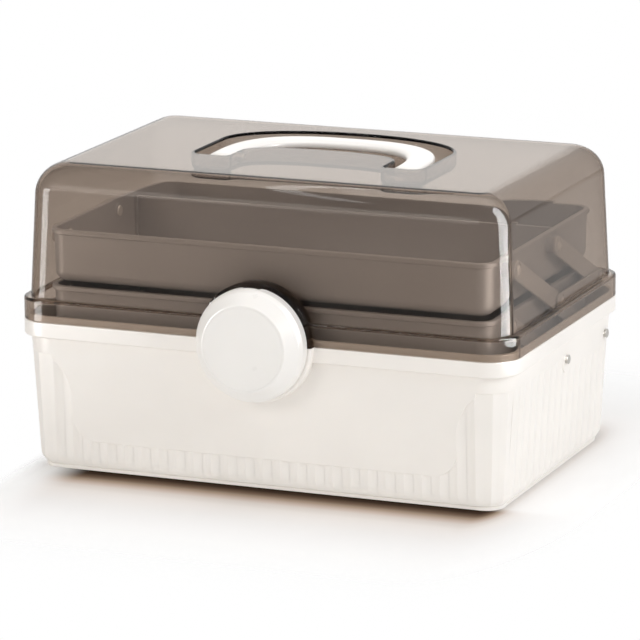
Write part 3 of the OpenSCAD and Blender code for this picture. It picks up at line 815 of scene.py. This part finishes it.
def lid_outside():
    profile = [
        (FLOOR_RING, FLANGE_Z0, 0), (RIM_X, FLANGE_Z0, 0.5), (RIM_X, FLANGE_Z1, 1.5),
        (LID_X, FLANGE_Z1, 0.6), (LID_TOP_X, TOP_Z, LID_EDGE), (TOP_RING, TOP_Z, 0),
    ]
    return box_loft("lid", rounded(profile, 12), RIM_X, RIM_Y, lid_corner(0.0), segments=16)


def lid_inside():
    """The lid's hollow, open at the bottom."""
    wide, high_z, top = RIM_X - LID_WALL, FLANGE_Z1 - LID_WALL, TOP_Z - LID_WALL
    below = 90
    profile = [
        (FLOOR_RING, below, 0), (wide, below, 0), (wide, high_z, 1.0), (LID_X - LID_WALL, high_z, 0.8),
        (LID_TOP_X - LID_WALL, top, LID_EDGE - LID_WALL), (TOP_RING, top, 0),
    ]
    corner = lid_corner(LID_WALL)
    return box_loft("inside", rounded(profile, 12), wide, RIM_Y - LID_WALL, corner, segments=16)


def well_outline():
    """The handle's well seen from above: a wide arch round a smaller one, with round leg ends."""
    r, r_in = 8.0, 3.4
    out = arc_points(WELL_HALF - r, WELL_FRONT + r, r, r, -90, 0, 8)
    out += arch(WELL_HALF, WELL_ARCH_Y, WELL_BACK, WELL_POWER)
    out += arc_points(-WELL_HALF + r, WELL_FRONT + r, r, r, 180, 270, 8)
    out += arc_points(-ISLAND_HALF - r_in, WELL_FRONT + r_in, r_in, r_in, 270, 360, 6)
    out += reversed(arch(ISLAND_HALF, ISLAND_ARCH_Y, ISLAND_BACK, ISLAND_POWER, 40))
    out += arc_points(ISLAND_HALF + r_in, WELL_FRONT + r_in, r_in, r_in, 180, 270, 6)
    apart = 0.15
    clean = []
    for p in out:
        if not clean or (Vector(p) - Vector(clean[-1])).length > apart:
            clean.append(p)
    return clean


def well_solid(name, steps):
    outline = well_outline()
    return loft(name, [[(x, y, z) for x, y in shifted(outline, grow)] for grow, z in steps])


def well_bottom(wall):
    """Steps of outward shift and height round the well's bottom edge, a distance of wall outside it."""
    reach = WELL_FILLET + wall
    turns = [90*i/6 for i in range(7)]
    return [(-WELL_FILLET + reach*sin(a), WELL_FLOOR + WELL_FILLET - reach*cos(a)) for a in turns]


def well_walls():
    return well_solid("well", [*well_bottom(LID_WALL), (LID_WALL, TOP_Z - 0.8)])


def well_hollow():
    """The room inside the well, which flares softly into the lid's top."""
    turns = [84*i/6 for i in range(7)]
    steps = well_bottom(0.0)
    steps += [(WELL_FLARE*(1 - cos(a)), TOP_Z - WELL_FLARE + WELL_FLARE*sin(a)) for a in turns]
    steps.append((steps[-1][0] + 0.01, TOP_Z + 2))
    return well_solid("hollow", steps)


def build_lid():
    lid = lid_outside()
    places = [hand*HINGE_X for hand in SIDES]
    knuckles = [knuckle(x, LID_KNUCKLE, FLANGE_Z0, PART_Z + KNUCKLE_R) for x in places]
    combine(lid, [half_boss(LID_BOSS_BACK, FLANGE_Z0, 1), joined("knuckles", knuckles)], "UNION")
    combine(lid, [lid_inside()], "DIFFERENCE")
    knob = rod(KNOB_R, 0, KNOB_LENGTH, 0, 0.8, 6)
    knobs = turned_pair("knob", knob, ISLAND_HALF - 1.0, HANDLE_Y, HANDLE_Z, 40, -1)
    axis = (0, LATCH_AXIS_Y, LATCH_AXIS_Z)
    lug = lathe("lug", rod(LUG_R, -LUG_HALF, LUG_HALF, 0.4, 0.4, 3), axis, segments=40)
    stem = block("stem", around(0, LUG_HALF - 0.05), (LATCH_AXIS_Y, BOSS_Y + 1), around(LATCH_AXIS_Z, LUG_R))
    combine(lid, [well_walls(), joined("knobs", knobs), lug, stem], "UNION")
    combine(lid, [well_hollow()], "DIFFERENCE")
    piece(lid, "lid_shell", "lid", SMOKE, "lid_cover")


# Handle

GRIP_W, GRIP_ARCH_Y, GRIP_RISE = 17.0, -10.0, 1.6
# How square the handle is seen from above, and its section is across and upright
GRIP_POWER, ACROSS_POWER, UPRIGHT_POWER = 2.8, 3.4, 2.6


def grip_sections():
    """Outer and inner point and half the thickness of each section, from the right leg round to the left."""
    round_end = []
    for y in (-3.05, -2.9, -2.6, -2.1, -1.4, -0.5, 1.5):
        half_t = math.sqrt(GRIP_HALF_T**2 - min(0, y)**2)
        round_end.append((HANDLE_Y + y, half_t))
    inner_half = GRIP_HALF - GRIP_W
    sections = [((GRIP_HALF, y), (inner_half, y), half_t) for y, half_t in round_end]
    outer = arch(GRIP_HALF, GRIP_ARCH_Y, GRIP_BACK, GRIP_POWER, 72)
    inner = arch(inner_half, GRIP_ARCH_Y, GRIP_BACK - GRIP_W, GRIP_POWER, 72)
    sections += [(a, b, GRIP_HALF_T) for a, b in zip(outer, inner)]
    return sections + [((-GRIP_HALF, y), (-inner_half, y), half_t) for y, half_t in reversed(round_end)]


def build_handle():
    """The handle, squarish in section, which rises a little from the legs to the back."""
    rings = []
    count = 36
    for a, b, half_t in grip_sections():
        a, b = Vector(a), Vector(b)
        centre, across = (a + b)/2, (a - b)/2
        ring = []
        for i in range(count):
            turn = 360*i/count
            p = centre + across*squared(cos(turn), ACROSS_POWER)
            rise = GRIP_RISE*max(0.0, min(1.0, (p.y - HANDLE_Y)/(GRIP_BACK - HANDLE_Y)))
            ring.append((p.x, p.y, HANDLE_Z + rise + half_t*squared(sin(turn), UPRIGHT_POWER)))
        rings.append(ring)
    piece(loft("handle", rings), "carry_handle", "handle", WHITE, "handle_grip")


# Latch

SEAT_R, SEAT_DEPTH, FACE_DEPTH = 26.2, 15.2, 17.0
LATCH_SWING = 40
BUTTON_R, BUTTON_WALL, SEAT_BACK = 35.6, 2.5, 12.8
AXLE_HALF, AXLE_R = 8.4, 1.2
EAR_X, EAR_HALF, EAR_Y = 7.2, 1.2, -121
HOOK_HALF, HOOK_Y, HOOK_Z = 9, (-121.5, -114.95), (66.6, 68.8)
# Room for the lug round its radius and beside it
LUG_ROOM, LUG_SIDE_ROOM = 0.35, 0.4


def latch_ring():
    """The turned button: a hollow back, a straight side and a shallow cone up to the seat of its face."""
    inner_r = BUTTON_R - BUTTON_WALL
    profile = rounded([
        (0, SEAT_DEPTH, 0), (SEAT_R, SEAT_DEPTH, 0.2), (SEAT_R, 16.98, 0.08), (27.4, 16.9, 1.2),
        (34.1, 9.8, 3.0), (BUTTON_R, 6.5, 1.5), (BUTTON_R, 0.0, 0.5), (inner_r, 0.0, 0.5),
        (inner_r, 6.3, 1.0), (28.4, 12.6, 2.0), (24.0, SEAT_BACK, 1.0), (0, SEAT_BACK, 0),
    ], 8)
    return lathe("ring", profile, (0, LATCH_BACK, LATCH_Z), "-y", 144)


def swing_room():
    """What is taken from the button's back so that it clears the boss as it swings open."""
    turn = LATCH_SWING + 8
    away = block("away", (-37, 37), (2.6, 12.6), (-8, 22))
    place = Matrix.Translation(Vector((0, LATCH_AXIS_Y, LATCH_AXIS_Z))*MM)
    away.data.transform(place @ Matrix.Rotation(math.radians(turn), 4, "X"))
    return away


def lug_room():
    """The slot round the axle that the lid's lug stands in, from closed to fully open."""
    r, half = LUG_R + LUG_ROOM, LUG_HALF + LUG_SIDE_ROOM
    c, s = cos(LATCH_SWING), sin(LATCH_SWING)
    front = reversed(arc_points(0, 0, r, r, 90 + LATCH_SWING, 270, 14))
    slot = [(3*r, -r), *front, (3*r*c - r*s, 3*r*s + r*c)]
    return loft("room", [[(x, LATCH_AXIS_Y + y, LATCH_AXIS_Z + z) for y, z in slot] for x in (-half, half)])


def build_latch():
    ring = latch_ring()
    tabs = []
    for hand in SIDES:
        z = (LATCH_AXIS_Z - 5, LATCH_AXIS_Z + 0.4)
        tabs.append(block("ear", around(hand*EAR_X, EAR_HALF), (EAR_Y, LATCH_BACK - 0.2), z, 0.3))
    tabs.append(block("hook", around(0, HOOK_HALF), HOOK_Y, HOOK_Z, 0.4))
    combine(ring, tabs, "UNION")
    combine(ring, [swing_room(), lug_room()], "DIFFERENCE")
    piece(ring, "latch_ring", "latch", WHITE, "latch_button")
    disc = rod(SEAT_R - 0.05, SEAT_DEPTH + 0.05, FACE_DEPTH, 0, 0.12, 4)
    face = lathe("face", disc, (0, LATCH_BACK, LATCH_Z), "-y", 144)
    piece(face, "latch_disc", "latch", WHITE, "latch_face")
    bar = rod(AXLE_R, -AXLE_HALF, AXLE_HALF, 0.2, 0.2, 3)
    axle = lathe("axle", bar, (0, LATCH_AXIS_Y, LATCH_AXIS_Z), segments=32)
    piece(axle, "latch_axle", "latch", STEEL, "latch_pin")


# Trays and dividers

TRAY_WALL, TRAY_FLOOR, TRAY_LIP, TRAY_CORNER = 2.0, 2.0, 1.6, 10.0
TRAY_X = LAYER_1 - 3.1
TRAY_INSIDE = TRAY_X - TRAY_WALL
TRAY_Y = mid("middle_tray", Y)
TRAY_HALF_Y = high("middle_tray", Y) - TRAY_Y - TRAY_LIP
DIVIDER_Y, DIVIDER_T = mid("middle_divider", Y), extent("middle_divider", Y)
STUD_R, PAD, REAR_PAD = 5.0, 0.5, 1.4
GUIDE_LENGTH, GUIDE_HALF_T, GUIDE_AWAY = 2.4, 0.7, 1.8


def tray_corner(x):
    return max(TRAY_CORNER - (TRAY_X - x), 3.0)


def build_tray(name, node, pivot_z, studs):
    """A tray with its lip, the guides of its divider and the studs that its arms turn against.

    Each stud is (y, x of its outer end, thickness of its pad inside the wall).
    """
    z0, z1 = low(node, Z), high(node, Z)
    floor_ring, lip_x, draft, inner_floor = 120, TRAY_X + TRAY_LIP, 0.8, z0 + TRAY_FLOOR
    profile = rounded([
        (floor_ring, z0, 0), (TRAY_X - draft, z0, 7.0), (TRAY_X, z1 - 3.4, 0.3), (lip_x, z1 - 3.0, 0.5),
        (lip_x, z1, 0.8), (TRAY_INSIDE, z1, 0.6), (TRAY_INSIDE - draft, inner_floor, 5.0),
        (floor_ring, inner_floor, 0),
    ], 6)
    rings = []
    for x, z in profile:
        ring = box_ring(x, TRAY_HALF_Y - (TRAY_X - x), tray_corner(x), z, 14)
        rings.append([(x, TRAY_Y + y, z) for x, y, z in ring])
    tray = loft(name, rings)
    turned = []
    for y, reach, pad in studs:
        start = TRAY_INSIDE - pad
        stud = rod(STUD_R, 0, reach - PLAY - start, 0.4, 0.5, 4)
        turned += turned_pair("stud", stud, start, y, pivot_z)
    guides = []
    for hand in SIDES:
        for side in (-1, 1):
            x = around(hand*(TRAY_INSIDE - GUIDE_LENGTH/2), GUIDE_LENGTH/2)
            y = around(DIVIDER_Y + side*GUIDE_AWAY, GUIDE_HALF_T)
            guides.append(block("guide", x, y, (z0 + 1.5, z1 - 3), 0.3))
    combine(tray, [joined("studs", turned), joined("guides", guides)], "UNION")
    piece(tray, name, node, TAUPE, node)


def build_divider(name, body, node):
    """An upright plate with rounded lower corners, which stands between the tray's guides."""
    half, z0, z1 = TRAY_INSIDE - 0.3, low(node, Z), high(node, Z)
    foot, soft = 7.0, 1.0
    outline = arc_points(half - foot - soft, z0 + foot, foot, foot, -90, 0, 8)
    outline += arc_points(half - 2*soft, z1 - soft, soft, soft, 0, 90, 4)
    outline += arc_points(-half + 2*soft, z1 - soft, soft, soft, 90, 180, 4)
    outline += arc_points(-half + foot + soft, z0 + foot, foot, foot, 180, 268, 8)
    rings = []
    for grow, depth in plate_steps(-DIVIDER_T/2, DIVIDER_T/2, 0.5):
        rings.append([(x, DIVIDER_Y + depth, z) for x, z in shifted(outline, grow)])
    piece(loft(name, rings), name, body, TAUPE, node)


# Linkage

LINK_R, GROOVE_R, GROOVE_OUT, GROOVE_DEPTH = 6.0, 4.5, 5.1, 0.35
OUTER_PLAY, HEAD_T = 0.05, 1.0


def build_link(name, body, hand, x0, thick, y, z, length, angle, node):
    """A flat arm with round ends and soft edges, and a ring groove round each of its pivots."""
    outline = arc_points(length, 0, LINK_R, LINK_R, -90, 90, 14)
    outline += arc_points(0, 0, LINK_R, LINK_R, 90, 270, 14)
    c, s = cos(angle), sin(angle)
    rings = []
    for grow, depth in plate_steps(0.0, thick, 0.6):
        ring = []
        for u, v in shifted(outline, grow):
            ring.append((hand*(x0 + depth), y + u*c - v*s, z + u*s + v*c))
        rings.append(ring)
    groove = [(GROOVE_R, -GROOVE_DEPTH), (GROOVE_OUT, -GROOVE_DEPTH), (GROOVE_OUT, 1.0), (GROOVE_R, 1.0)]
    grooves = []
    for along in (0.0, length):
        place = (hand*(x0 + thick), y + along*c, z + along*s)
        grooves.append(lathe("groove", sided(groove, hand), place, loop=True))
    link = combine(loft(name, rings), [joined("grooves", grooves)], "DIFFERENCE")
    piece(link, name, body, ARM_PAINTED_LIGHTER, node)


def build_rivets(name, body, node, places, head=3.5, pin=2.0, material=BRIGHT):
    """Rivets on both sides. Each place is (y, z, x under the inner head, x under the outer head)."""
    parts = []
    for y, z, x0, x1 in places:
        length = x1 - x0 + 2*HEAD_T
        profile = rounded([
            (0, 0, 0), (head - 0.2, 0, 0.2), (head, HEAD_T, 0.2), (pin, HEAD_T, 0),
            (pin, length - HEAD_T, 0), (head, length - HEAD_T, 0.25),
            (head - 0.9, length - 0.12, 2.0), (0, length, 0),
        ], 4)
        parts += turned_pair("rivet", profile, x0 - HEAD_T, y, z)
    piece(joined(name, parts), name, body, material, node)


def build_links():
    reach, rise = PIVOT_FRONT - PIVOT_MID, MIDDLE_PIVOT_Z - BASE_PIVOT_Z
    length = math.hypot(reach, rise)
    lean = math.degrees(math.atan2(rise, reach))
    for hand, side in ((LEFT, "left"), (RIGHT, "right")):
        for where, y in (("front", PIVOT_MID), ("rear", PIVOT_REAR)):
            for stage, x0, z in (("lower", LAYER_1, BASE_PIVOT_Z), ("upper", LAYER_2, MIDDLE_PIVOT_Z)):
                body, node = f"{stage}_{where}_arms", f"{stage}_{where}_arm_{side}"
                build_link(f"{stage}_{where}_link_{side}", body, hand, x0, ARM_T, y, z, length, lean, node)
        bar = (LAYER_3, BAR_T, PIVOT_MID, MIDDLE_PIVOT_Z, PIVOT_REAR - PIVOT_MID, 0.0)
        build_link(f"tie_link_{side}", "middle_tray", hand, *bar, f"tie_bar_{side}")


def build_linkage():
    build_tray("middle_tray_shell", "middle_tray", MIDDLE_PIVOT_Z,
        [(PIVOT_FRONT, LAYER_1, PAD), (PIVOT_MID, LAYER_1, PAD), (PIVOT_REAR, LAYER_2, REAR_PAD)])
    build_tray("upper_tray_shell", "upper_tray", UPPER_PIVOT_Z,
        [(PIVOT_FRONT, LAYER_2, PAD), (PIVOT_MID, LAYER_2, PAD)])
    build_divider("middle_divider_plate", "middle_tray", "middle_divider")
    build_divider("upper_divider_plate", "upper_tray", "upper_divider")
    build_links()
    inside, rear_inside = TRAY_INSIDE - PAD - PLAY, TRAY_INSIDE - REAR_PAD - PLAY
    over_1, over_2 = LAYER_1 + ARM_T + PLAY, LAYER_2 + ARM_T + PLAY
    over_3 = LAYER_3 + BAR_T + OUTER_PLAY
    build_rivets("base_rivets", "base", "base_pins",
        [(y, BASE_PIVOT_Z, LAYER_1 - PLAY, BODY_X + 0.5) for y in (PIVOT_MID, PIVOT_REAR)],
        head=3.3, pin=2.6, material=STEEL)
    rows = (("front", PIVOT_FRONT, inside, over_1), ("centre", PIVOT_MID, inside, over_3),
        ("rear", PIVOT_REAR, rear_inside, over_3))
    for row, y, x0, x1 in rows:
        places = [(y, MIDDLE_PIVOT_Z, x0, x1)]
        build_rivets(f"middle_{row}_rivets", "middle_tray", f"middle_{row}_pins", places)
    build_rivets("upper_rivets", "upper_tray", "upper_tray_pins",
        [(y, UPPER_PIVOT_Z, inside, over_2) for y in (PIVOT_FRONT, PIVOT_MID)])


def finish_pins():
    """Gives the pins and washers that keep the part's own shape their material."""
    pins = [f"{pin}_{side}" for pin in ("hinge_pin", "handle_pin") for side in ("left", "right")]
    for node in (*pins, "pivot_washers"):
        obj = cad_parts[node]
        obj.data.materials.clear()
        obj.data.materials.append(STEEL)


# Floor, world and lamps

FLOOR_HALF = 6.0/MM
FLOOR_WHITE = (0.94, 0.94, 0.94)
# Half the length and half the width of the painted shadow's core under the foot. The 1 leaves out height
SHADE_CORE = (0.1423, 0.0855, 1)
# How much the distance grows towards the ends, and where that starts and is full
END_GROWTH, LEFT_GROWTH = 1.6, 6.0
END_START, END_FULL = 0.10, 0.15
SHADE_REACH = 0.16
# Colours of the painted shadow on the floor, from close to the foot outwards
PAINTED_SHADOW_STOPS = [
    (0.075, (0.03, 0.018, 0.012)), (0.112, (0.055, 0.035, 0.024)), (0.156, (0.17, 0.115, 0.08)),
    (0.2, (0.40, 0.31, 0.24)), (0.238, (0.58, 0.48, 0.42)), (0.275, (0.70, 0.64, 0.60)),
    (0.344, (0.81, 0.77, 0.74)), (0.41, (0.84, 0.81, 0.79)), (0.52, (0.86, 0.845, 0.835)),
    (0.625, (0.88, 0.87, 0.865)), (0.83, (0.92, 0.915, 0.91)), (1.0, FLOOR_WHITE),
]
FADE_START, FADE_END = 0.05, 0.24
# Where the painted shadow grows towards the front, and where it is left out at the left end
FRONT_START, FRONT_FULL = -0.08, -0.098
LEFT_NONE, LEFT_FULL = -0.148, -0.118


def distance_from_foot(tree, place):
    """Distance on the floor from the foot. It counts for more towards the ends, and most at the left one."""
    side = new_node(tree, "SeparateXYZ", {"Vector": place}).outputs["X"]
    size = vector_maths(tree, "ABSOLUTE", vector_maths(tree, "MULTIPLY", place, (1, 1, 0)))
    either_end = new_node(tree, "SeparateXYZ", {"Vector": size}).outputs["X"]
    beyond = vector_maths(tree, "MAXIMUM", vector_maths(tree, "SUBTRACT", size, SHADE_CORE), (0, 0, 0))
    towards_end = smooth_step(tree, either_end, END_START, END_FULL)
    towards_left = smooth_step(tree, side, -END_START, -END_FULL)
    steep = maths(tree, "MULTIPLY_ADD", towards_end, END_GROWTH, 1.0)
    steep = maths(tree, "MULTIPLY_ADD", towards_left, LEFT_GROWTH, steep)
    tighter = new_node(tree, "CombineXYZ", {"X": steep, "Y": 1}).outputs["Vector"]
    return vector_maths(tree, "LENGTH", vector_maths(tree, "MULTIPLY", beyond, tighter))


def painted_contact_shadow(tree, place, away, camera_ray):
    """The floor's colour as the camera sees it, with a painted shadow: dark close to the foot, and most of
    all in front.
    """
    shade = colour_ramp(tree, maths(tree, "MULTIPLY", away, 1/SHADE_REACH), PAINTED_SHADOW_STOPS)
    parts = new_node(tree, "SeparateXYZ", {"Vector": place}).outputs
    front = smooth_step(tree, parts["Y"], FRONT_START, FRONT_FULL)
    not_left = smooth_step(tree, parts["X"], LEFT_NONE, LEFT_FULL)
    elsewhere = maths(tree, "MULTIPLY_ADD", not_left, 0.3, 0.06)
    amount = maths(tree, "MAXIMUM", maths(tree, "MULTIPLY", front, not_left), elsewhere)
    seen = maths(tree, "MULTIPLY", amount, camera_ray)
    inputs = {"Fac": seen, "Color1": (*FLOOR_WHITE, 1), "Color2": shade}
    return new_node(tree, "MixRGB", inputs).outputs["Color"]


def build_floor():
    """A pale floor with a painted shadow round the foot, which the camera sees fade into the white
    background.
    """
    corners = [(x*FLOOR_HALF, y*FLOOR_HALF, 0) for x, y in ((-1, -1), (1, -1), (1, 1), (-1, 1))]
    floor = make_mesh("floor", corners, [(0, 1, 2, 3)])
    material, tree = new_material("floor_white")
    place = object_place(tree)
    camera_ray = new_node(tree, "LightPath").outputs["Is Camera Ray"]
    away = distance_from_foot(tree, place)
    colour = painted_contact_shadow(tree, place, away, camera_ray)
    diffuse = new_node(tree, "BsdfDiffuse", {"Color": colour})
    clear = new_node(tree, "BsdfTransparent")
    fade = maths(tree, "MULTIPLY", smooth_step(tree, away, FADE_START, FADE_END), camera_ray)
    surface = mix_shaders(tree, fade, diffuse.outputs["BSDF"], clear.outputs["BSDF"])
    new_node(tree, "OutputMaterial", {"Surface": surface})
    floor.data.materials.append(material)


def build_world():
    """Soft light from all round, and a white background for the camera, gloss and glass."""
    world = bpy.data.worlds.new("studio")
    scene.world = world
    world.use_nodes = True
    tree = world.node_tree
    tree.nodes.clear()
    light = new_node(tree, "Background", {"Color": (1.0, 0.99, 0.975, 1), "Strength": 0.5})
    white = new_node(tree, "Background", {"Color": (1, 1, 1, 1), "Strength": 1.0})
    path = new_node(tree, "LightPath").outputs
    seen = maths(tree, "MAXIMUM", path["Is Camera Ray"], path["Is Glossy Ray"])
    seen = maths(tree, "MAXIMUM", seen, path["Is Transmission Ray"])
    surface = mix_shaders(tree, seen, light.outputs["Background"], white.outputs["Background"])
    new_node(tree, "OutputWorld", {"Surface": surface})


def lamp(name, place, target, size, energy, colour=(1, 1, 1), gloss_only=False):
    """A soft lamp that the camera doesn't see. With gloss_only it only makes streaks on glossy surfaces."""
    data = bpy.data.lights.new(name, "AREA")
    data.shape = "RECTANGLE"
    data.size, data.size_y = size
    data.energy = energy
    data.color = colour
    obj = bpy.data.objects.new(name, data)
    scene.collection.objects.link(obj)
    obj.location = place
    obj.visible_camera = False
    if gloss_only:
        obj.visible_diffuse = False
        obj.visible_transmission = False
    obj.rotation_mode = "QUATERNION"
    obj.rotation_quaternion = (Vector(target) - Vector(place)).to_track_quat("-Z", "Y")


def streak(name, place, target, size, energy, colour=(1, 1, 1)):
    lamp(name, place, target, size, energy, colour, gloss_only=True)


def build_lights():
    aim = (0, 0, 0.1)
    lamp("key", (2.45, -0.55, 1.4), aim, (0.9, 0.9), 29.0, (0.96, 0.985, 1.02))
    lamp("fill", (-0.85, -1.8, 0.9), aim, (0.8, 0.7), 8.0, (1.0, 0.965, 0.92))
    lamp("top", (0.0, 0.3, 1.8), aim, (1.2, 1.2), 11.5, (1.0, 0.99, 0.98))
    streak("strip right", (0.222, -0.091, 0.225), (0.158, -0.096, 0.225), (0.064, 0.27), 2.1)
    streak("strip left", (-0.414, -0.37, 0.1), (-0.15, -0.097, 0.1), (0.21, 0.4), 6.8)
    streak("strip top", (-0.44, -0.1, 1.3), (0.0, -0.1, 0.19), (1.4, 0.03), 1.2)
    streak("panel back", (-0.51, 1.26, 0.51), (0.0, 0.0, 0.19), (1.0, 0.4), 0.72, (1.0, 0.95, 0.88))


build_base()
build_lid()
build_handle()
build_latch()
build_linkage()
finish_pins()
build_floor()
build_world()
build_lights()
scene.view_settings.view_transform = "Standard"
